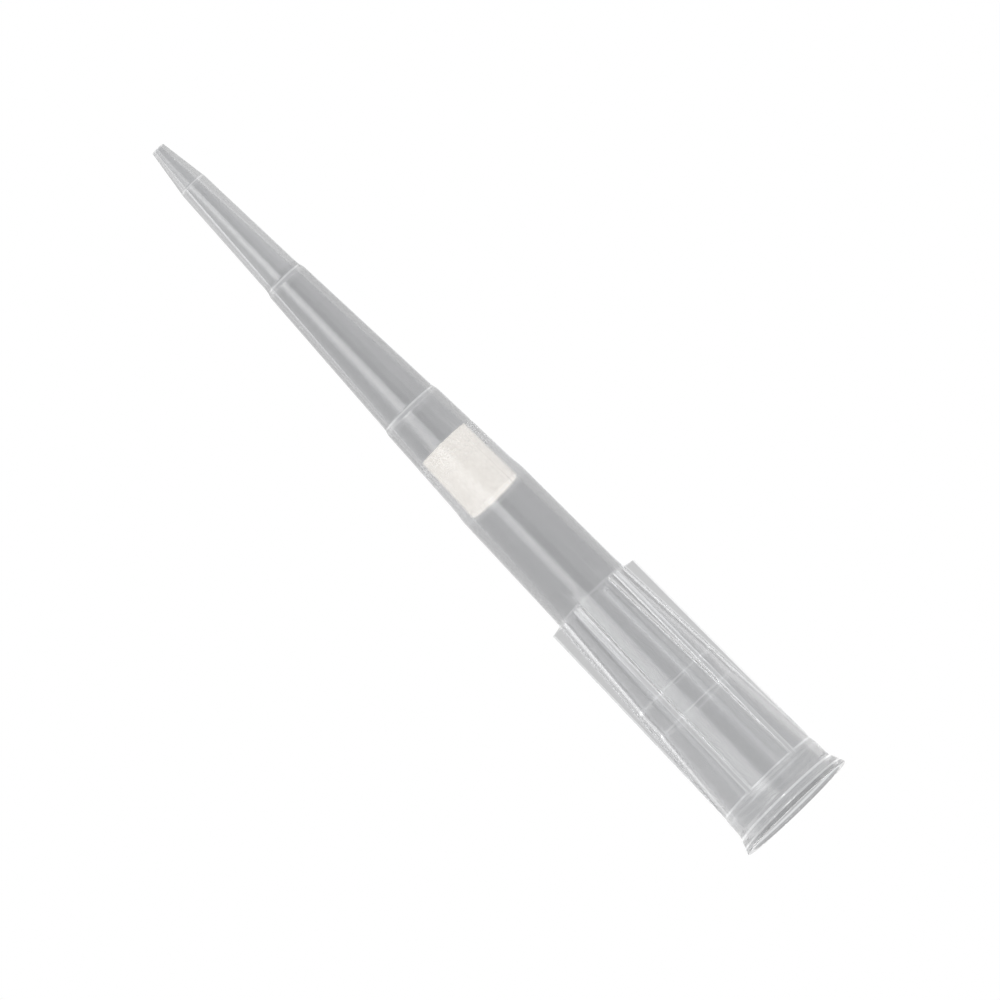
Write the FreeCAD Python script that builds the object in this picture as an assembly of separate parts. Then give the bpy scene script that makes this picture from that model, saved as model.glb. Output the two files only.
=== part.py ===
import FreeCAD, Part
import math
import os

# Filter pipette tip of the 200 microlitre class, in millimetres.
# It stands on its open mouth. The origin is the centre of the mouth's rim plane,
# and +Z runs up the axis, through the ribbed collar and the barrel, to the orifice.
# Heights are measured from the rim plane. "Lower" means nearer the mouth.

# ---- Lengths along the axis, from the mouth to the orifice ----
FLARE_LENGTH = 1.10            # flared lip and lead-in
BAND_LENGTH = 0.78             # plain ring between the flare and the ribs
BAND_SLOPE_LENGTH = 0.45       # where the plain ring falls to the collar's core
RIB_ZONE_LENGTH = 14.02        # ribbed part of the collar
SHOULDER_LENGTH = 0.09         # where the collar's core drops to the barrel
BARREL_LENGTH = 7.86
BARREL_STEP_LENGTH = 0.70
UPPER_BODY_LENGTH = 5.63       # section around the filter
UPPER_STEP_LENGTH = 0.38
LOWER_BODY_LENGTH = 9.66
LOWER_STEP_LENGTH = 0.36
TIP_BODY_LENGTH = 7.20
TIP_STEP_LENGTH = 0.05
NOZZLE_LENGTH = 2.72

# ---- Bore ----
MOUTH_RADIUS = 3.30            # inner edge of the rim
SOCKET_RADIUS = 2.90           # nozzle socket, where the flare ends
LAND_HEIGHT = 7.97             # lower edge of the sealing land
LAND_LENGTH = 1.68
LAND_RADIUS = 2.40             # cylindrical sealing land that grips the pipette's nozzle
LAND_SHOULDER = 0.05           # how far the land stands proud of the bore beside it
COLLAR_BORE_RADIUS = 1.98      # at the collar's upper end
SEAT_LOWER_RADIUS = 1.73       # filter seat, at both ends of the plug
SEAT_UPPER_RADIUS = 1.625
CANAL_RADIUS = 0.42            # where the nozzle begins
ORIFICE_RADIUS = 0.225

# ---- Wall over the bore, at the ends of each outer section ----
LIP_WALL = 0.445
BAND_LOWER_WALL = 0.42
BAND_UPPER_WALL = 0.465
CORE_LOWER_WALL = 0.435
CORE_UPPER_WALL = 0.47
BARREL_LOWER_WALL = 0.43
BARREL_UPPER_WALL = 0.525
UPPER_BODY_LOWER_WALL = 0.445
UPPER_BODY_UPPER_WALL = 0.405
LOWER_BODY_LOWER_WALL = 0.33
LOWER_BODY_UPPER_WALL = 0.39
TIP_BODY_LOWER_WALL = 0.305
TIP_BODY_UPPER_WALL = 0.40
NOZZLE_LOWER_WALL = 0.38
ORIFICE_WALL = 0.18

# ---- Ribs of the collar ----
RIB_COUNT = 6
RIB_FIRST_ANGLE = 0.0          # degrees from +X to the first rib
RIB_HEIGHT = 0.65              # crest above the core, at the upper end
RIB_RUNOUT = 0.04              # how far the crest has sunk under the plain ring where it ends
RIB_CREST_WIDTH = 0.30
RIB_DRAFT_DEG = 4.0            # each flank, for release from the mould
RIB_FRONT_SLANT_DEG = 10.0     # the front faces lean towards the mouth
RIB_BITE = 0.15                # depth of a rib's root in the collar's wall
RIB_NOSE_ROUND = 0.08          # where a front face meets its crest

# ---- Filter plug ----
PLUG_LENGTH = 4.15
PLUG_SETBACK = 0.28            # its lower face below the barrel's upper end
PLUG_GAP = 0.01                # radial room between the plug and its seat
PLUG_CHAMFER = 0.12            # both ends

# ---- Broken edges and roundings of the moulding ----
LIP_CHAMFER = 0.05             # both edges of the rim
FLARE_ROOT_ROUND = 0.60        # outside and inside
STEP_ROUND = 0.25              # hollow corner at the foot of each step
ORIFICE_CHAMFER = 0.03

# ---- Heights that follow from the lengths ----
flare_top = FLARE_LENGTH
band_top = flare_top + BAND_LENGTH
rib_zone_bottom = band_top + BAND_SLOPE_LENGTH
collar_top = rib_zone_bottom + RIB_ZONE_LENGTH
barrel_bottom = collar_top + SHOULDER_LENGTH
barrel_top = barrel_bottom + BARREL_LENGTH
upper_body_bottom = barrel_top + BARREL_STEP_LENGTH
upper_body_top = upper_body_bottom + UPPER_BODY_LENGTH
lower_body_bottom = upper_body_top + UPPER_STEP_LENGTH
lower_body_top = lower_body_bottom + LOWER_BODY_LENGTH
tip_body_bottom = lower_body_top + LOWER_STEP_LENGTH
tip_body_top = tip_body_bottom + TIP_BODY_LENGTH
nozzle_bottom = tip_body_top + TIP_STEP_LENGTH
overall_height = nozzle_bottom + NOZZLE_LENGTH

land_top = LAND_HEIGHT + LAND_LENGTH
plug_bottom = barrel_top - PLUG_SETBACK
plug_top = plug_bottom + PLUG_LENGTH


def corner(radius, height, finish="sharp", size=0.0):
    """Corner of an outline in the XZ half-plane, and how it is finished: sharp, round or chamfer."""
    return FreeCAD.Vector(radius, 0, height), finish, size


# ---- The bore, from the mouth up ----
bore_outline = [
    corner(MOUTH_RADIUS, 0, "chamfer", LIP_CHAMFER),
    corner(SOCKET_RADIUS, flare_top, "round", FLARE_ROOT_ROUND),
    corner(LAND_RADIUS + LAND_SHOULDER, LAND_HEIGHT - LAND_SHOULDER),
    corner(LAND_RADIUS, LAND_HEIGHT),
    corner(LAND_RADIUS, land_top),
    corner(LAND_RADIUS - LAND_SHOULDER, land_top + LAND_SHOULDER),
    corner(COLLAR_BORE_RADIUS, collar_top),
    corner(SEAT_LOWER_RADIUS, plug_bottom),
    corner(SEAT_UPPER_RADIUS, plug_top),
    corner(CANAL_RADIUS, nozzle_bottom),
    corner(ORIFICE_RADIUS, overall_height),
]


def bore_radius(height):
    """Radius of the bore at a height, on the straight lines between its corners."""
    for (lower, _, _), (upper, _, _) in zip(bore_outline, bore_outline[1:]):
        if height <= upper.z:
            share = (height - lower.z) / (upper.z - lower.z)
            return lower.x + share * (upper.x - lower.x)
    return ORIFICE_RADIUS


def over_bore(height, wall, finish="sharp", size=0.0):
    """Corner of the outer outline, a wall's thickness off the bore."""
    return corner(bore_radius(height) + wall, height, finish, size)


# ---- The outside, from the rim up ----
outer_outline = [
    over_bore(0, LIP_WALL, "chamfer", LIP_CHAMFER),
    over_bore(flare_top, BAND_LOWER_WALL, "round", FLARE_ROOT_ROUND),
    over_bore(band_top, BAND_UPPER_WALL),
    over_bore(rib_zone_bottom, CORE_LOWER_WALL),
    over_bore(collar_top, CORE_UPPER_WALL),
    over_bore(barrel_bottom, BARREL_LOWER_WALL, "round", STEP_ROUND),
    over_bore(barrel_top, BARREL_UPPER_WALL),
    over_bore(upper_body_bottom, UPPER_BODY_LOWER_WALL, "round", STEP_ROUND),
    over_bore(upper_body_top, UPPER_BODY_UPPER_WALL),
    over_bore(lower_body_bottom, LOWER_BODY_LOWER_WALL, "round", STEP_ROUND),
    over_bore(lower_body_top, LOWER_BODY_UPPER_WALL),
    over_bore(tip_body_bottom, TIP_BODY_LOWER_WALL, "round", STEP_ROUND),
    over_bore(tip_body_top, TIP_BODY_UPPER_WALL),
    over_bore(nozzle_bottom, NOZZLE_LOWER_WALL),
    over_bore(overall_height, ORIFICE_WALL, "chamfer", ORIFICE_CHAMFER),
]


def finished(before, here, after, finish, size):
    """Start, middle and end of a corner's finish. The middle is None unless the corner is round."""
    if finish == "sharp":
        return here, None, here
    back = before - here
    ahead = after - here
    half_angle = back.getAngle(ahead) / 2
    run = size if finish == "chamfer" else size / math.tan(half_angle)
    run = min(run, 0.45 * back.Length, 0.45 * ahead.Length)
    back.normalize()
    ahead.normalize()
    start = here + back * run
    end = here + ahead * run
    if finish == "chamfer":
        return start, None, end
    radius = run * math.tan(half_angle)
    bisector = back + ahead
    bisector.normalize()
    middle = here + bisector * (radius / math.sin(half_angle) - radius)
    return start, middle, end


def outline_face(corners):
    """Flat face in the XZ half-plane, bounded by the corners in their order."""
    points = [point for point, _, _ in corners]
    after = points[1:] + points[:1]
    before = points[-1:] + points[:-1]
    turns = [finished(b, p, a, f, s) for b, (p, f, s), a in zip(before, corners, after)]
    edges = []
    leave = turns[-1][2]
    for start, middle, end in turns:
        edges.append(Part.makeLine(leave, start))
        if middle:
            edges.append(Part.Arc(start, middle, end).toShape())
        elif start != end:
            edges.append(Part.makeLine(start, end))
        leave = end
    return Part.Face(Part.Wire(edges))


def turned(corners, angle=360.0):
    """Solid of revolution about the Z axis, or a wedge of it with its middle on +X."""
    face = outline_face(corners)
    if angle < 360:
        face.rotate(FreeCAD.Vector(0, 0, 0), FreeCAD.Vector(0, 0, 1), -angle / 2)
    return face.revolve(FreeCAD.Vector(0, 0, 0), FreeCAD.Vector(0, 0, 1), angle)


def rib():
    """One rib, along +X: a drafted slab trimmed to the turned form of crest and slanted front."""
    core_lower = bore_radius(rib_zone_bottom) + CORE_LOWER_WALL
    core_upper = bore_radius(collar_top) + CORE_UPPER_WALL
    crest_lower = bore_radius(band_top) + BAND_UPPER_WALL - RIB_RUNOUT
    crest_upper = core_upper + RIB_HEIGHT
    slant = math.tan(math.radians(RIB_FRONT_SLANT_DEG))
    # The crest ends inside the plain ring, half the sloping edge's length under it.
    tail = band_top - BAND_SLOPE_LENGTH / 2
    nose = collar_top + RIB_BITE * slant
    trim = turned([
        corner(core_lower - RIB_BITE, tail),
        corner(crest_lower, tail),
        corner(crest_upper, collar_top - RIB_HEIGHT * slant, "round", RIB_NOSE_ROUND),
        corner(core_upper - RIB_BITE, nose),
    ], angle=180.0 / RIB_COUNT)
    half_crest = RIB_CREST_WIDTH / 2
    half_root = half_crest + crest_lower * math.tan(math.radians(RIB_DRAFT_DEG))
    section = Part.makePolygon([
        FreeCAD.Vector(0, -half_root, tail),
        FreeCAD.Vector(crest_lower, -half_crest, tail),
        FreeCAD.Vector(crest_lower, half_crest, tail),
        FreeCAD.Vector(0, half_root, tail),
        FreeCAD.Vector(0, -half_root, tail),
    ])
    slab = Part.Face(section).extrude(FreeCAD.Vector(0, 0, nose - tail))
    return slab.common(trim)


def tip_body():
    """The clear moulding: stepped cone, ribbed collar, flared mouth and the bore through it."""
    body = turned(outer_outline + bore_outline[::-1])
    ribs = []
    for index in range(RIB_COUNT):
        blade = rib()
        turn = RIB_FIRST_ANGLE + 360.0 * index / RIB_COUNT
        blade.rotate(FreeCAD.Vector(0, 0, 0), FreeCAD.Vector(0, 0, 1), turn)
        ribs.append(blade)
    return body.multiFuse(ribs).removeSplitter()


def filter_plug():
    """Porous plug, pressed up the bore until it wedges in its tapered seat."""
    return turned([
        corner(0, plug_bottom),
        corner(bore_radius(plug_bottom) - PLUG_GAP, plug_bottom, "chamfer", PLUG_CHAMFER),
        corner(bore_radius(plug_top) - PLUG_GAP, plug_top, "chamfer", PLUG_CHAMFER),
        corner(0, plug_top),
    ])


os.makedirs("parts", exist_ok=True)
for node, shape in {"tip_body": tip_body(), "filter_plug": filter_plug()}.items():
    shape.exportStep("parts/" + node + ".step")
    print(node, "solids", len(shape.Solids), "valid", shape.isValid(), "volume", round(shape.Volume, 3))
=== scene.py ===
import math

import bpy
import numpy as np
from mathutils import Matrix, Vector, noise

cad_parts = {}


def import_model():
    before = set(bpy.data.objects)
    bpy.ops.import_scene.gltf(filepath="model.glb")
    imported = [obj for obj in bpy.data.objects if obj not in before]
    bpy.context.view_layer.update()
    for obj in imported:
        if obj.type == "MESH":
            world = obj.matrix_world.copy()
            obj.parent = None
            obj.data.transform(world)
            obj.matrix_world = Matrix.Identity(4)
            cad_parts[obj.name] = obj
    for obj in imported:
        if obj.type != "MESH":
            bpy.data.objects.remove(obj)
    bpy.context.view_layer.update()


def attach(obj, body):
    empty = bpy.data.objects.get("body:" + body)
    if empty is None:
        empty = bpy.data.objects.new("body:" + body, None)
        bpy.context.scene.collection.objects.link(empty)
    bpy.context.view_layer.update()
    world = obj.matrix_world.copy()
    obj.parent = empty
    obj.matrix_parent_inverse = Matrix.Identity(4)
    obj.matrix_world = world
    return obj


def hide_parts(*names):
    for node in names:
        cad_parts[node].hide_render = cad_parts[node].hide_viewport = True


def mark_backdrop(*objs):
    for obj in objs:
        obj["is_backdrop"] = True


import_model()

MM = 0.001
WHITE = (1, 1, 1, 1)

# ---- Looks of the clear plastic: tint, clearness and emission, which paint in light and shade ----
# The tint is the share of light that two crossings of the surface let through. It is set section by
# section, darker in some and paler in others, as painted shade and painted highlights.
# The bore has its own, so the hollow middle looks darker than the walls beside it, which is painted
# shade. What isn't clear is milky.
# The emission is painted light: the surface gives off light though it is no lamp, and it lights up
# edges, rings and ribs.
BODY = (0.46, 1.00, 0.00)
SLIM = (0.52, 1.00, 0.00)
STEP = (0.56, 1.00, 0.00)
COLLAR = (0.60, 0.97, 0.00)
OVER_PLUG = (0.53, 1.00, 0.00)
LIP = (0.45, 0.90, 0.00)       # the flare's last third of a millimetre, darker as painted shade
FLARE = (0.57, 0.90, 0.00)
CANAL = (0.84, 1.00, 0.00)
SOCKET = (0.72, 1.00, 0.00)
LIP_BORE = (0.60, 0.90, 0.00)
CLEAR = (1.00, 1.00, 0.00)
SOFT_EDGE = (0.75, 1.00, 0.00)
# pale tint and emission: a painted highlight along the edges
EDGE = (0.92, 1.00, 0.06)
WITNESS = (0.60, 1.00, 0.12)   # fine lines at the steps, lit up as painted highlights
RING = (0.74, 1.00, 0.16)      # fine rings round the flare, lit up as painted highlights
RIB_CREST = (0.68, 0.97, 0.05)
# dark tint as painted shade on the rib flanks, lifted by emitted painted light
RIB_FLANK = (0.34, 0.99, 0.15)
# pale tint and emission: painted highlights along the ribs' edges
RIB_EDGE = (0.88, 1.00, 0.10)
RIB_FOOT = (0.74, 1.00, 0.05)
HUE = (0.995, 1.000, 1.010)    # what the tint is multiplied by
BORE_SHINE = 0.20              # share of the outside's mirror reflection that the bore keeps
PLUG_SHINE = 0.45              # and the outside over the plug
HAZE = 0.015                   # how far the tint wanders with the flow marks of the moulding
MARK_SCALE = 420               # of the flow marks, per metre
PLASTIC_INDEX = 1.49           # of refraction
PLASTIC_ROUGHNESS = 0.12

# ---- Section of the moulding, in mm ----
# Each corner is height above the mouth's rim, radius, how far its rounding runs along both its
# sides, the look of the rounding, and the look of the stretch from it to the next corner.
OUTSIDE = [
    (0.00, 3.740, 0.050, LIP, LIP),               # rim of the flared mouth
    (0.29, 3.632, 0.012, RING, RING),             # two pairs of fine rings on the flare
    (0.35, 3.599, 0.012, RING, FLARE),
    (0.78, 3.443, 0.012, RING, RING),
    (0.86, 3.405, 0.012, RING, FLARE),
    (1.10, 3.330, 0.080, COLLAR, COLLAR),         # root of the flare
    (1.88, 3.313, 0.050, SOFT_EDGE, COLLAR),      # upper edge of the plain ring
    (2.33, 3.254, 0.040, EDGE, COLLAR),           # end of its sloping edge, where the core starts
    (16.35, 2.448, 0.035, COLLAR, BODY),          # upper end of the collar
    (16.50, 2.421, 0.080, BODY, BODY),            # hollow foot of the barrel
    (17.10, 2.388, 0.500, BODY, BODY),
    (23.80, 2.258, 0.000, BODY, OVER_PLUG),       # just below the plug, inside
    (24.30, 2.248, 0.060, OVER_PLUG, OVER_PLUG),  # upper end of the barrel
    (25.00, 2.150, 0.200, OVER_PLUG, OVER_PLUG),  # foot of the section around the filter
    (28.17, 2.0036, 0.000, OVER_PLUG, BODY),      # upper end of the plug
    (30.63, 1.890, 0.040, STEP, STEP),            # step down to the long lower body
    (30.86, 1.830, 0.012, WITNESS, STEP),         # witness line on it
    (31.01, 1.790, 0.350, BODY, BODY),            # foot of the long lower body
    (40.67, 1.269, 0.050, STEP, STEP),            # step down to the slim tip
    (40.88, 1.206, 0.012, WITNESS, STEP),         # witness line on it
    (41.03, 1.160, 0.250, BODY, SLIM),            # foot of the slim tip
    (48.23, 0.823, 0.020, WITNESS, WITNESS),      # small step, a witness line as a whole
    (48.28, 0.800, 0.020, SLIM, SLIM),            # foot of the nozzle
    (51.00, 0.405, 0.030, EDGE, BODY),            # edge of the orifice
]
BORE = [
    (51.00, 0.225, 0.020, EDGE, CANAL),           # orifice
    (48.28, 0.420, 0.030, CANAL, CANAL),
    (28.17, 1.625, 0.050, CLEAR, CLEAR),          # seat of the plug
    (23.80, 1.737, 0.050, CLEAR, CANAL),
    (16.35, 1.980, 0.050, CANAL, SOCKET),
    (9.80, 2.350, 0.050, SOCKET, SOCKET),         # sealing land, between two soft shoulders
    (9.68, 2.375, 0.020, EDGE, SOCKET),
    (9.56, 2.400, 0.050, SOCKET, SOCKET),
    (8.06, 2.400, 0.050, SOCKET, SOCKET),
    (7.94, 2.425, 0.020, EDGE, SOCKET),
    (7.82, 2.450, 0.050, SOCKET, SOCKET),
    (1.10, 2.900, 0.120, SOCKET, SOCKET),         # socket, where the flare ends
    (0.53, 3.107, 0.000, SOCKET, LIP_BORE),
    (0.00, 3.300, 0.050, LIP, LIP),               # inner edge of the rim
]
CORNER_STEPS = (3, 7)          # rows of a small rounding and of a large one
SMALL_REACH = 0.03             # a rounding up to here is small
REACH_SHARE = 0.45             # share of a side that a rounding takes at most
GUARD = 0.03                   # a short row beside each rounding keeps the cones' shading straight
ROW_PITCH = 3.0                # longest row elsewhere
SAME_ROW = 1e-4                # rows closer than this are one

# ---- Ribs of the collar, in mm ----
RIB_COUNT = 6
RIB_TAIL = (1.655, 3.273)      # where the crest dies out in the plain ring
RIB_NOSE = (16.235, 3.100)     # where the crest meets the slanted front
RIB_FRONT = (16.35, 2.448)     # foot of the front
RIB_NOSE_REACH = 0.06
RIB_HALF_CREST = 0.16
RIB_DRAFT = math.tan(math.radians(6))
RIB_ROUND = 0.05               # rounding along both sides of the crest and of the front
RIB_ROOT = 0.07                # hollow corner at the foot of each flank
RIB_GUARD = 0.02
RIB_TURNS = (0, 30, 60, 90)    # degrees at which both have their columns
ROUND_PARTS = 3                # each takes at most one part in 3 of a low rib's height,
GUARD_PARTS = 12               # and each guard one part in 12
TAIL_ROWS = (2.00, 2.45, 10)   # heights between which the ribs rise out of the ring, and the rows
GAP_COLUMNS = 16               # steps between one rib and the next
FRONT_ROWS = 9
SEAM_RADIUS = 2.405            # above the collar the columns keep the angles that they have here

# ---- Porous plug, in mm ----
PLUG_ENDS = (24.02, 28.17)
PLUG_RADII = (1.715, 1.610)
PLUG_ROUNDS = (0.14, 0.08)
PLUG_COLUMNS = 240
PLUG_PITCH = 0.045
GRAIN = 0.16                   # size of the sintered beads
GRAIN_DEPTH = 0.014            # of the dents between them
GRAIN_RISE = 1.3               # how fast a dent deepens away from a bead's middle
GRAIN_LEAN = 0.3               # how far the dents lean along the axis
RAGGED = 0.035                 # how far its upper edge wanders
RAGGED_MEAN = 0.5              # share of it that the edge loses on average
RAGGED_SCALE = 4               # of the noise that it follows, per millimetre
PAINTED_PLUG_GLOW = 0.57                    # painted light that the plug gives off though it is no lamp, so it looks brightly lit behind the wall
PAINTED_END_GLOW = 0.35                # and more painted light at the lower end, which would lie in shade
PAINTED_GLOW_COLOUR = (1.0, 0.96, 0.91, 1)
SHADE_SCALE = 5000             # of the noise that shades it, per metre
SHADES = ((0.3, (0.90, 0.855, 0.80, 1)), (0.6, (0.985, 0.94, 0.885, 1)))
PLUG_ROUGHNESS = 0.85

# ---- Where the plug touches its seat, in mm ----
CONTACT = (26.30, 28.05, 26)   # heights of the speckled stretch, and its rows
CONTACT_SHARE = 0.35           # share of it that touches, at its upper end
CONTACT_CLEARNESS = 0.85
PAINTED_CONTACT_GLOW = 0.06            # painted light that the specks of the plug's seat give off
SEED = 7

# ---- Light ----
WORLD_LEVEL = 0.45             # on matt surfaces; clear ones see white all round
MOST_BOUNCES = 48              # light that is caught in the ribs needs many to get out
SPOT = (-11, 8.5)              # azimuth from the camera and elevation of a dark shape in front
SPOT_SIZE = (8, 14)            # degrees from its middle at which it starts and ends to fade
SPOT_LEVEL = 0.1               # its brightness
FLOOR_DROP = 0.05 * MM
FLOOR_HALF = 20.0
FLOOR_COLOUR = (0.8, 0.8, 0.8, 1)
FLOOR_ROUGHNESS = 0.9

# ---- Camera ----
VIEW_AZIMUTH = math.radians(-8.0)
VIEW_ELEVATION = math.radians(-4.2)
VIEW_ROLL = math.radians(44.1)
VIEW_WIDTH = 55.37 * MM        # what the picture spans at the object
VIEW_CENTRE = 23.75 * MM       # height on the axis at the picture's middle
VIEW_OFFSET = 0.072 * MM       # how far the axis passes beside the middle
VIEW_DISTANCE = 2.5
CLIP = (0.05, 100)             # nearest and farthest that it sees, in metres
SENSOR = 36.0


def curve(start, corner, end, steps):
    """Points of a quadratic curve that rounds a corner."""
    t = np.linspace(0, 1, steps)[:, None]
    return (1 - t) ** 2 * start + 2 * t * (1 - t) * corner + t ** 2 * end


def rounded(corners, closed):
    """Runs of points (height, radius), one run for each corner, which round it over its reach."""
    places = [np.array(c[:2]) for c in corners]
    runs = []
    for index, here in enumerate(places):
        reach = corners[index][2]
        at_end = not closed and index in (0, len(corners) - 1)
        if at_end or reach == 0:
            runs.append(here[None, :])
            continue
        back = places[index - 1] - here
        ahead = places[(index + 1) % len(places)] - here
        start = here + back * min(reach / np.linalg.norm(back), REACH_SHARE)
        end = here + ahead * min(reach / np.linalg.norm(ahead), REACH_SHARE)
        runs.append(curve(start, here, end, CORNER_STEPS[reach > SMALL_REACH]))
    return runs


def between(a, b):
    """Points inside a straight run: a guard by each end, and others up to a pitch apart."""
    length = np.linalg.norm(b - a)
    if length < 4 * GUARD:
        return np.empty((0, 2))
    count = max(1, math.ceil((length - 2 * GUARD) / ROW_PITCH))
    share = np.linspace(GUARD, length - GUARD, count + 1) / length
    return a + (b - a) * share[:, None]


def finished(points, look):
    """The points with the same look beside each."""
    return np.column_stack([points, np.tile(look, (len(points), 1))])


def section_rows():
    """The closed section as rows (height, radius, look), and which of them lie on the bore."""
    corners = OUTSIDE + BORE
    runs = rounded(corners, closed=True)
    rows = []
    on_bore = []
    for index, (run, corner) in enumerate(zip(runs, corners)):
        bore = index >= len(OUTSIDE)
        fill = between(run[-1], runs[(index + 1) % len(runs)][0])
        rows += [finished(run, corner[3]), finished(fill, corner[4])]
        on_bore += [bore] * len(run) + [bore and index < len(corners) - 1] * len(fill)
    return np.vstack(rows), np.array(on_bore)


def crest_line():
    """Height and radius along a rib's crest, over its nose and down its front."""
    corners = [RIB_TAIL + (0,), RIB_NOSE + (RIB_NOSE_REACH,), RIB_FRONT + (0,)]
    nose = np.vstack(rounded(corners, closed=False))
    front = np.linspace(nose[-2], nose[-1], FRONT_ROWS)[1:-1]
    return np.vstack([nose[:-1], front, nose[-1:]])


def with_rib_rows(rows, on_bore, crest):
    """Adds to the climb up the outside the rows that the ribs' two ends need."""
    peak = int(np.argmax(rows[:, 0])) + 1
    climb = rows[:peak]
    heights = np.concatenate([crest[1:-1, 0], np.linspace(*TAIL_ROWS)])
    more = [np.interp(heights, climb[:, 0], values) for values in climb[:, 1:].T]
    climb = np.vstack([climb, np.column_stack([heights] + more)])
    climb = climb[np.argsort(climb[:, 0], kind="stable")]
    climb = climb[np.concatenate([[True], np.diff(climb[:, 0]) > SAME_ROW])]
    added = len(climb) - peak
    return np.vstack([climb, rows[peak:]]), np.concatenate([np.zeros(added, bool), on_bore])


def with_contact_rows(rows, on_bore):
    """Adds the rows down the bore that carry the specks of the plug's seat."""
    heights = np.linspace(*CONTACT)[::-1]
    place = int(np.argmax(on_bore & (rows[:, 0] < heights[0])))
    above, below = rows[place - 1], rows[place]
    share = (above[0] - heights[:, None]) / (above[0] - below[0])
    more = above + (below - above) * share
    inside = np.ones(len(more), bool)
    return np.insert(rows, place, more, axis=0), np.insert(on_bore, place, inside)


def rib_section(height):
    """Half a rib's section at the crest's height above the core, from the middle out.

    Its points are (sideways, up, look).
    """
    edge_up = min(RIB_ROUND, height / ROUND_PARTS)
    root_up = min(RIB_ROOT, height / ROUND_PARTS)
    guard = min(RIB_GUARD, height / GUARD_PARTS)
    top = RIB_HALF_CREST - RIB_ROUND
    low = height - edge_up
    foot = RIB_HALF_CREST + RIB_DRAFT * max(low - root_up, 0)
    points = [(0.0, height, *RIB_CREST), (top - RIB_GUARD, height, *RIB_CREST)]
    for turn in np.radians(RIB_TURNS):
        aside, up = top + RIB_ROUND * math.sin(turn), low + edge_up * math.cos(turn)
        points.append((aside, up, *RIB_EDGE))
    points.append((RIB_HALF_CREST + RIB_DRAFT * guard, low - guard, *RIB_FLANK))
    points.append((foot - RIB_DRAFT * guard, root_up + guard, *RIB_FLANK))
    for turn in np.radians(RIB_TURNS):
        aside, up = foot + RIB_ROOT * (1 - math.cos(turn)), root_up * (1 - math.sin(turn))
        points.append((aside, up, *RIB_FOOT))
    return np.array(points)


def moulding_points():
    """Tables of points and of looks over the whole surface, a row for each row of the section.

    Also which of the rows lie on the bore.
    """
    crest = crest_line()
    rows, bore = with_contact_rows(*with_rib_rows(*section_rows(), crest))
    crest_up = np.interp(rows[:, 0], crest[:, 0], crest[:, 1], left=0, right=0)
    heights = np.where(bore, 0, np.maximum(crest_up - rows[:, 1], 0))
    slant = (RIB_FRONT[0] - RIB_NOSE[0]) / (RIB_NOSE[1] - RIB_FRONT[1])
    sector = 2 * math.pi / RIB_COUNT
    table = []
    looks = []
    for (z, r, *look), height in zip(rows, heights):
        half = rib_section(height)
        if height > 0:
            behind = RIB_FRONT[0] - slant * half[1:, 1] - z
            depth = np.clip(behind / RIB_ROUND, 0, 1)
            inset = RIB_ROUND * (1 - np.sqrt(1 - (1 - depth) ** 2))
            half[1:, 0] -= inset * np.minimum(1, half[1:, 0] / RIB_HALF_CREST)
        else:
            half[:, 2:] = look
        turn = half[:, 0] / max(r, SEAM_RADIUS)
        edge = turn[-1] + RIB_GUARD / max(r, SEAM_RADIUS)
        gap = np.linspace(edge, sector - edge, GAP_COLUMNS + 1)
        angles = np.concatenate([-turn[:0:-1], turn, gap])
        angles = np.concatenate([angles + sector * k for k in range(RIB_COUNT)])
        up = np.concatenate([half[:0:-1, 1], half[:, 1], np.zeros(len(gap))])
        radii = r + np.tile(up, RIB_COUNT) * (height > 0)
        x, y = radii * np.cos(angles), radii * np.sin(angles)
        table.append(np.column_stack([x, y, np.full(len(angles), z)]))
        ring = np.vstack([half[:0:-1, 2:], half[:, 2:], np.tile(look, (len(gap), 1))])
        looks.append(np.tile(ring, (RIB_COUNT, 1)))
    return np.array(table) * MM, np.array(looks), bore


def linked(name, data):
    """A new object of the scene."""
    piece = bpy.data.objects.new(name, data)
    bpy.context.scene.collection.objects.link(piece)
    return piece


def grid_mesh(name, table, close_rows):
    """Mesh over a table of points whose columns close on themselves, and its rows too if asked."""
    rows, columns, _ = table.shape
    index = np.arange(rows * columns).reshape(rows, columns)
    below = index if close_rows else index[:-1]
    above = np.roll(index, -1, 0) if close_rows else index[1:]
    quads = np.stack([below, np.roll(below, -1, 1), np.roll(above, -1, 1), above], -1)
    quads = quads.reshape(-1, 4)
    mesh = bpy.data.meshes.new(name)
    mesh.from_pydata(table.reshape(-1, 3).tolist(), [], quads.tolist())
    mesh.polygons.foreach_set("use_smooth", np.ones(len(quads), bool))
    return linked(name, mesh)


def add_layer(mesh, name, values):
    """Keeps a value for each point of the mesh, which its material reads."""
    layer = mesh.attributes.new(name, "FLOAT", "POINT")
    layer.data.foreach_set("value", values.ravel())


def contact_specks(table, bore):
    """Where the plug touches its seat: 1 at random points, more of them towards its upper end."""
    height = table[:, :, 2] / MM
    start, end, _ = CONTACT
    share = CONTACT_SHARE * np.clip((height - start) / (end - start), 0, 1)
    share[(height > end + GUARD) | ~bore[:, None]] = 0
    return (np.random.default_rng(SEED).random(height.shape) < share) * 1.0


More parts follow.
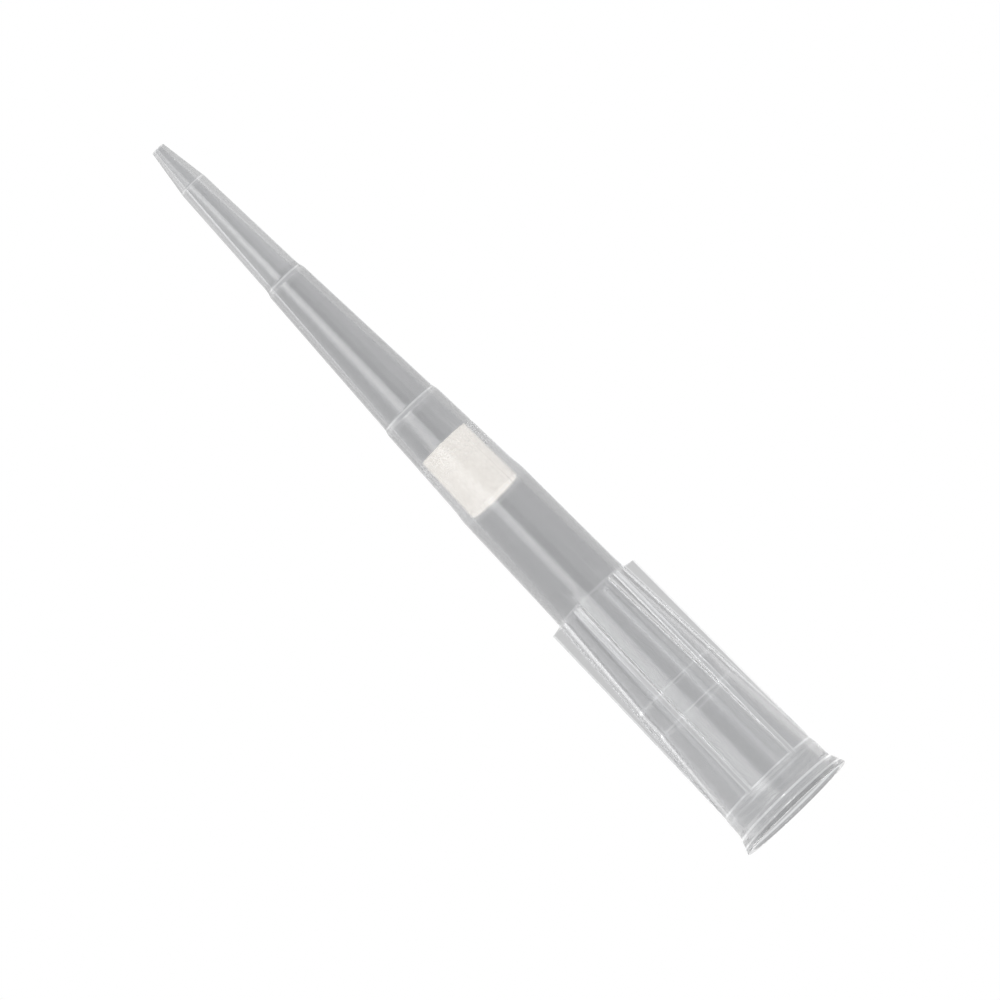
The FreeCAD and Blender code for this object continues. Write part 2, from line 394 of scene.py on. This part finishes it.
def tip_body():
    """The clear moulding, whose mesh keeps a look for each point, with painted shade in its tint
    and painted light in its emission.
    """
    table, looks, bore = moulding_points()
    tint, clearness, painted_glow = looks[:, :, 0], looks[:, :, 1], looks[:, :, 2]
    contact = contact_specks(table, bore)
    outside_shine = np.where(tint == OVER_PLUG[0], PLUG_SHINE, 1.0)
    piece = grid_mesh("clear_moulding", table, close_rows=True)
    mesh = piece.data
    add_layer(mesh, "tint", tint)
    add_layer(mesh, "clearness", clearness * (1 - contact) + CONTACT_CLEARNESS * contact)
    add_layer(mesh, "painted_glow", painted_glow + PAINTED_CONTACT_GLOW * contact)
    add_layer(mesh, "shine", np.where(bore[:, None], BORE_SHINE, outside_shine))
    mesh.materials.append(plastic())
    mesh.validate()
    return piece


def shaded(name):
    """A new material, its node tree and its shader."""
    material = bpy.data.materials.new(name)
    material.use_nodes = True
    return material, material.node_tree, material.node_tree.nodes["Principled BSDF"]


def attribute(tree, name):
    """Outputs of a node that reads a value which the mesh keeps."""
    node = tree.nodes.new("ShaderNodeAttribute")
    node.attribute_name = name
    return node.outputs


def noise_field(tree, scale):
    """Output of a noise texture that is fixed to the object."""
    place = tree.nodes.new("ShaderNodeTexCoord")
    field = tree.nodes.new("ShaderNodeTexNoise")
    field.inputs["Scale"].default_value = scale
    tree.links.new(place.outputs["Object"], field.inputs["Vector"])
    return field.outputs["Fac"]


def maximum(tree, first, second):
    """Output of a node that takes the greater of two values."""
    node = tree.nodes.new("ShaderNodeMath")
    node.operation = "MAXIMUM"
    tree.links.new(first, node.inputs[0])
    tree.links.new(second, node.inputs[1])
    return node.outputs[0]


def mixed(tree, share, first, second):
    """Output of a node that mixes two shaders, with the given share of the second."""
    node = tree.nodes.new("ShaderNodeMixShader")
    tree.links.new(share, node.inputs["Fac"])
    tree.links.new(first, node.inputs[1])
    tree.links.new(second, node.inputs[2])
    return node.outputs[0]


def plastic():
    """Clear polypropylene, with faint flow marks in its tint and a slightly hazy surface, painted
    shade in its tint from section to section, and painted light that its edges, rings and ribs give
    off.
    """
    material, tree, shader = shaded("clear_polypropylene")
    nodes, links = tree.nodes, tree.links
    shader.inputs["IOR"].default_value = PLASTIC_INDEX
    shader.inputs["Roughness"].default_value = PLASTIC_ROUGHNESS
    links.new(attribute(tree, "clearness")["Fac"], shader.inputs["Transmission Weight"])
    links.new(attribute(tree, "shine")["Color"], shader.inputs["Specular Tint"])
    # painted light: the surface gives off light though it is no lamp
    links.new(attribute(tree, "painted_glow")["Fac"], shader.inputs["Emission Strength"])
    wander = nodes.new("ShaderNodeMapRange")
    wander.inputs["To Min"].default_value = -HAZE
    wander.inputs["To Max"].default_value = HAZE
    links.new(noise_field(tree, MARK_SCALE), wander.inputs["Value"])
    level = nodes.new("ShaderNodeMath")
    level.operation = "ADD"
    level.use_clamp = True
    links.new(attribute(tree, "tint")["Fac"], level.inputs[0])
    links.new(wander.outputs["Result"], level.inputs[1])
    hue = nodes.new("ShaderNodeVectorMath")
    hue.operation = "SCALE"
    hue.inputs[0].default_value = HUE
    links.new(level.outputs[0], hue.inputs["Scale"])
    links.new(hue.outputs[0], shader.inputs["Base Color"])
    return material


def plug_rows():
    """The plug's section (height, radius) from the middle of its lower end to that of its upper."""
    (low, high), (r_low, r_high), (round_low, round_high) = PLUG_ENDS, PLUG_RADII, PLUG_ROUNDS
    corners = [(low, 0, 0), (low, r_low, round_low), (high, r_high, round_high), (high, 0, 0)]
    runs = rounded(corners, closed=False)
    rows = []
    for run, after in zip(runs, runs[1:]):
        rows.append(run)
        length = np.linalg.norm(after[0] - run[-1])
        count = max(2, round(length / PLUG_PITCH))
        rows.append(run[-1] + (after[0] - run[-1]) * np.linspace(0, 1, count + 1)[1:-1, None])
    rows.append(runs[-1])
    return np.vstack(rows)


def sinter(table):
    """Dents the plug's points between its beads, and makes its upper edge ragged."""
    middle = np.array([0, 0, sum(PLUG_ENDS) / 2])
    for row in table:
        for point in row:
            near = noise.voronoi(Vector(point / GRAIN))[0]
            dent = GRAIN_DEPTH * min(1.0, near[0] * GRAIN_RISE)
            if point[2] > PLUG_ENDS[1] - 2 * PLUG_ROUNDS[1]:
                waves = noise.noise(Vector(point * RAGGED_SCALE))
                point[2] -= RAGGED * (RAGGED_MEAN + waves)
            inward = middle - point
            inward[2] *= GRAIN_LEAN
            point += inward / np.linalg.norm(inward) * dent


def filter_plug():
    """The porous plug, a grid of rows closed by a fan at each end."""
    rows = plug_rows()[1:-1]
    angles = np.linspace(0, 2 * math.pi, PLUG_COLUMNS, endpoint=False)
    table = np.zeros((len(rows), PLUG_COLUMNS, 3))
    table[:, :, 0] = rows[:, 1:2] * np.cos(angles)
    table[:, :, 1] = rows[:, 1:2] * np.sin(angles)
    table[:, :, 2] = rows[:, 0:1]
    sinter(table)
    table *= MM
    piece = grid_mesh("porous_plug", table, close_rows=False)
    mesh = piece.data
    count = len(mesh.vertices)
    top = count - PLUG_COLUMNS
    ends = [table[0].mean(0), table[-1].mean(0)]
    verts = [v.co.copy() for v in mesh.vertices] + [Vector(e) for e in ends]
    faces = [tuple(p.vertices) for p in mesh.polygons]
    for k in range(PLUG_COLUMNS):
        after = (k + 1) % PLUG_COLUMNS
        faces.append((after, k, count))
        faces.append((top + k, top + after, count + 1))
    mesh.clear_geometry()
    mesh.from_pydata(verts, [], faces)
    mesh.polygons.foreach_set("use_smooth", np.ones(len(faces), bool))
    mesh.validate()
    height = np.array([v.co.z for v in mesh.vertices]) / MM - PLUG_ENDS[0]
    # painted light: the plug gives off light, more towards its lower end, where it would lie in
    # shade
    add_layer(mesh, "painted_glow", PAINTED_PLUG_GLOW + PAINTED_END_GLOW * np.clip(1 - height / PLUG_ROUNDS[0], 0, 1))
    mesh.materials.append(sintered())
    return piece


def sintered():
    """Porous polyethylene: off-white, shaded from bead to bead, and giving off painted light though
    it is no lamp.
    """
    material, tree, shader = shaded("porous_polyethylene")
    shader.inputs["Roughness"].default_value = PLUG_ROUGHNESS
    shader.inputs["Emission Color"].default_value = PAINTED_GLOW_COLOUR
    # painted light: emission read from the layer that the mesh keeps
    tree.links.new(attribute(tree, "painted_glow")["Fac"], shader.inputs["Emission Strength"])
    ramp = tree.nodes.new("ShaderNodeValToRGB")
    for stop, (position, colour) in zip(ramp.color_ramp.elements, SHADES):
        stop.position = position
        stop.color = colour
    tree.links.new(noise_field(tree, SHADE_SCALE), ramp.inputs["Fac"])
    tree.links.new(ramp.outputs["Color"], shader.inputs["Base Color"])
    return material


def ray_kinds(tree):
    """What tells the rays apart, and an output that is 1 for glossy and transmission rays."""
    path = tree.nodes.new("ShaderNodeLightPath").outputs
    return path, maximum(tree, path["Is Glossy Ray"], path["Is Transmission Ray"])


def world():
    """White to camera, glossy and transmission rays, and a plain level of light to the rest.

    A soft dark shape in front stands for the camera, and mirror reflections alone see it.
    """
    room = bpy.data.worlds.new("studio")
    bpy.context.scene.world = room
    room.use_nodes = True
    tree = room.node_tree
    nodes, links = tree.nodes, tree.links
    lit = nodes["Background"]
    lit.inputs["Color"].default_value = WHITE
    lit.inputs["Strength"].default_value = WORLD_LEVEL
    white = nodes.new("ShaderNodeBackground")
    white.inputs["Color"].default_value = WHITE
    place = nodes.new("ShaderNodeTexCoord")
    toward = nodes.new("ShaderNodeVectorMath")
    toward.operation = "DOT_PRODUCT"
    spot = direction(VIEW_AZIMUTH - math.radians(SPOT[0]), math.radians(SPOT[1]))
    toward.inputs[1].default_value = spot
    links.new(place.outputs["Generated"], toward.inputs[0])
    fade = nodes.new("ShaderNodeMapRange")
    fade.inputs["From Min"].default_value = math.cos(math.radians(SPOT_SIZE[1]))
    fade.inputs["From Max"].default_value = math.cos(math.radians(SPOT_SIZE[0]))
    fade.inputs["To Min"].default_value = 1.0
    fade.inputs["To Max"].default_value = SPOT_LEVEL
    links.new(toward.outputs["Value"], fade.inputs["Value"])
    path, mirrored_or_through = ray_kinds(tree)
    plain = maximum(tree, path["Is Camera Ray"], path["Is Transmission Ray"])
    links.new(maximum(tree, plain, fade.outputs["Result"]), white.inputs["Strength"])
    seen = maximum(tree, path["Is Camera Ray"], mirrored_or_through)
    shown = mixed(tree, seen, lit.outputs[0], white.outputs[0])
    links.new(shown, nodes["World Output"].inputs["Surface"])


def floor():
    """Pale floor, white to glossy and transmission rays, and clear from below."""
    mesh = bpy.data.meshes.new("floor")
    s = FLOOR_HALF
    z = -FLOOR_DROP
    mesh.from_pydata([(-s, -s, z), (s, -s, z), (s, s, z), (-s, s, z)], [], [(0, 1, 2, 3)])
    piece = linked("floor", mesh)
    material, tree, shader = shaded("floor")
    nodes, links = tree.nodes, tree.links
    shader.inputs["Base Color"].default_value = FLOOR_COLOUR
    shader.inputs["Roughness"].default_value = FLOOR_ROUGHNESS
    white = nodes.new("ShaderNodeEmission")
    white.inputs["Strength"].default_value = 1.0
    clear = nodes.new("ShaderNodeBsdfTransparent")
    side = nodes.new("ShaderNodeNewGeometry")
    _, mirrored_or_through = ray_kinds(tree)
    lit = mixed(tree, mirrored_or_through, shader.outputs[0], white.outputs[0])
    whole = mixed(tree, side.outputs["Backfacing"], lit, clear.outputs[0])
    links.new(whole, nodes["Material Output"].inputs["Surface"])
    mesh.materials.append(material)
    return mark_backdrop(piece)


def direction(azimuth, elevation):
    """Unit vector from the object: azimuth 0 is towards -Y, and positive ones turn to +X."""
    level = math.cos(elevation)
    return Vector((math.sin(azimuth) * level, -math.cos(azimuth) * level, math.sin(elevation)))


def aim(thing, back, right, up, place):
    """Puts a lamp or camera at a place, with its back, right and upper side as given."""
    turn = Matrix((right, up, back)).transposed().to_4x4()
    thing.matrix_world = Matrix.Translation(place) @ turn


def camera():
    """The photo's direction, rolled so that the tip lies aslant in the picture."""
    back = direction(VIEW_AZIMUTH, VIEW_ELEVATION)
    level = Vector((0, 0, 1)).cross(back).normalized()
    upright = back.cross(level)
    right = level * math.cos(VIEW_ROLL) - upright * math.sin(VIEW_ROLL)
    up = level * math.sin(VIEW_ROLL) + upright * math.cos(VIEW_ROLL)
    data = bpy.data.cameras.new("camera")
    data.sensor_width = SENSOR
    data.lens = SENSOR * VIEW_DISTANCE / VIEW_WIDTH
    data.clip_start, data.clip_end = CLIP
    eye = linked("camera", data)
    target = Vector((0, 0, VIEW_CENTRE)) + level * VIEW_OFFSET
    aim(eye, back, right, up, target + back * VIEW_DISTANCE)
    bpy.context.scene.camera = eye


def softbox(name, azimuths, elevations, distance, peak, profile):
    """Flat softbox that faces the object and spans the given angles from it.

    Its brightness where 1 is white: the peak, times the profile from the first azimuth to the last.
    """
    azimuth, elevation = (sum(span) / 2 for span in (azimuths, elevations))
    width = 2 * distance * math.tan(abs(azimuths[1] - azimuths[0]) / 2)
    height = 2 * distance * math.tan((elevations[1] - elevations[0]) / 2)
    data = bpy.data.lights.new(name, "AREA")
    data.shape = "RECTANGLE"
    data.size = width
    data.size_y = height
    data.energy = math.pi * width * height  # so that a strength of 1 is white
    data.use_nodes = True
    nodes, links = data.node_tree.nodes, data.node_tree.links
    face = nodes.new("ShaderNodeNewGeometry")
    across = nodes.new("ShaderNodeSeparateXYZ")
    links.new(face.outputs["Parametric"], across.inputs[0])
    fade = nodes.new("ShaderNodeValToRGB")
    stops = fade.color_ramp.elements
    while len(stops) < len(profile):
        stops.new(0.5)
    # The face runs from the last azimuth to the first.
    for index, value in enumerate(reversed(profile)):
        stops[index].position = index / (len(profile) - 1)
        stops[index].color = (value, value, value, 1)
    links.new(across.outputs["X"], fade.inputs["Fac"])
    level = nodes.new("ShaderNodeMath")
    level.operation = "MULTIPLY"
    level.inputs[1].default_value = peak
    links.new(fade.outputs["Color"], level.inputs[0])
    links.new(level.outputs[0], nodes["Emission"].inputs["Strength"])
    lamp = linked(name, data)
    back = direction(azimuth, elevation)
    right = Vector((0, 0, 1)).cross(back).normalized()
    up = back.cross(right)
    aim(lamp, back, right, up, Vector((0, 0, VIEW_CENTRE)) + back * distance)
    lamp.visible_camera = False
    return lamp


def around(name, start, end, low, high, peak, profile=(1, 1), distance=0.6):
    """Softbox that starts and ends at degrees counted from the camera, positive to its left.

    Low and high are the elevations of its lower and upper edge.
    """
    azimuths = [VIEW_AZIMUTH - math.radians(a) for a in (start, end)]
    elevations = [math.radians(a) for a in (low, high)]
    return softbox(name, azimuths, elevations, distance, peak, profile)


def lamps():
    """Narrow softboxes in front for the long highlights, wide ones at the sides and above."""
    strips = [
        around("strip_low", 4, 31, 4.5, 8, 5.5, (0.5, 1.0, 0.8, 0.3)),
        around("strip_collar", 2, 56, 8.2, 9.8, 4.5, (0.0, 0.3, 1.0, 0.7, 0.2)),
        around("strip", 2, 46, 9.9, 24, 6.0, (0.3, 0.7, 1.0, 0.5, 0.1)),
    ]
    for strip in strips:  # seen through the ribs they would give a white band
        strip.visible_transmission = False
    around("left", 70, 125, 7, 34, 0.8, (0.1, 1.0))
    around("right", -50, -125, 7, 34, 0.9, (0.1, 1.0))
    around("left_high", 44, 110, 18, 30, 1.8, distance=0.75)
    around("left_top", 15, 70, 58, 80, 3.5)
    around("right_top", -15, -70, 58, 80, 3.5)


moulding = tip_body()
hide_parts("tip_body")
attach(moulding, "root")
plug = filter_plug()
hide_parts("filter_plug")
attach(plug, "root")
world()
floor()
lamps()
camera()
bpy.context.scene.view_settings.view_transform = "Standard"
paths = bpy.context.scene.cycles
paths.max_bounces = MOST_BOUNCES
paths.glossy_bounces = MOST_BOUNCES
paths.transmission_bounces = MOST_BOUNCES
